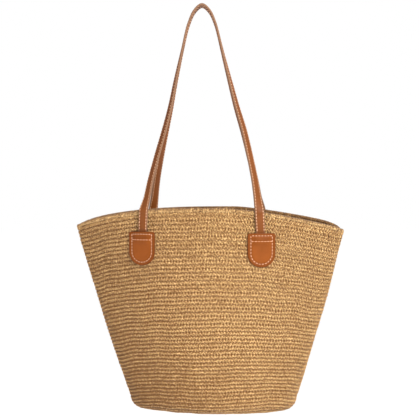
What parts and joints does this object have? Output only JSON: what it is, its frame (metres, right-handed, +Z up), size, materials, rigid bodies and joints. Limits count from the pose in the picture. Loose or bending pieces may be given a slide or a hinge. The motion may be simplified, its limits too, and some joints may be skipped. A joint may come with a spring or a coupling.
{
  "type": "straw basket bag",
  "caption": "Crocheted straw basket bag with a wide pinched mouth, a flat oval base and leather shoulder straps on stitched patches, hung by its straps.",
  "frame": {"origin": "the hang point: the underside of the straps' crown, midway between the two straps", "axes": "+Z up, the way the bag hangs; -Y towards the front of the bag; +X to the right seen from the front"},
  "size_m": [0.4202, 0.1586, 0.6313],
  "materials": {
    "straw": "matte crocheted straw",
    "straw_edge": "matte straw finishing round",
    "strap_leather": "semi-matte smooth leather",
    "patch_leather": "semi-matte smooth leather"
  },
  "bodies": {
    "root": {"basket_body": "straw", "rim_band": "straw_edge", "strap_front": "strap_leather", "strap_back": "strap_leather", "patch_front_left": "patch_leather", "patch_front_right": "patch_leather", "patch_back_left": "patch_leather", "patch_back_right": "patch_leather"}
  },
  "joints": []
}
